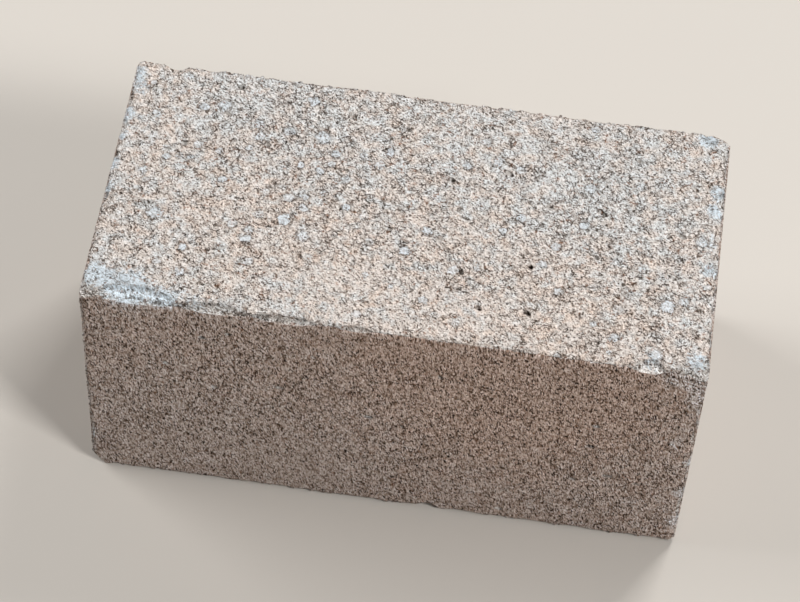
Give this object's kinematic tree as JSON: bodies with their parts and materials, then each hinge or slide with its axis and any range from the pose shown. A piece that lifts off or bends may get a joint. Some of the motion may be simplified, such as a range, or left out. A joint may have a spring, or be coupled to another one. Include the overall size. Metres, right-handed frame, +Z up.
{
  "type": "concrete block",
  "caption": "Solid dense-aggregate concrete building block, a plain rectangular unit with rough faces, worn arrises and knocked corners, for laying in walls or footings.",
  "frame": {"origin": "middle of the underside, on the level floor that the block lies on", "axes": "+X along the block's length, +Y from the front face to the back face, +Z up through the top face"},
  "size_m": [0.39, 0.194, 0.19],
  "materials": {
    "concrete": "matte"
  },
  "bodies": {
    "root": {"concrete_block": "concrete"}
  },
  "joints": []
}
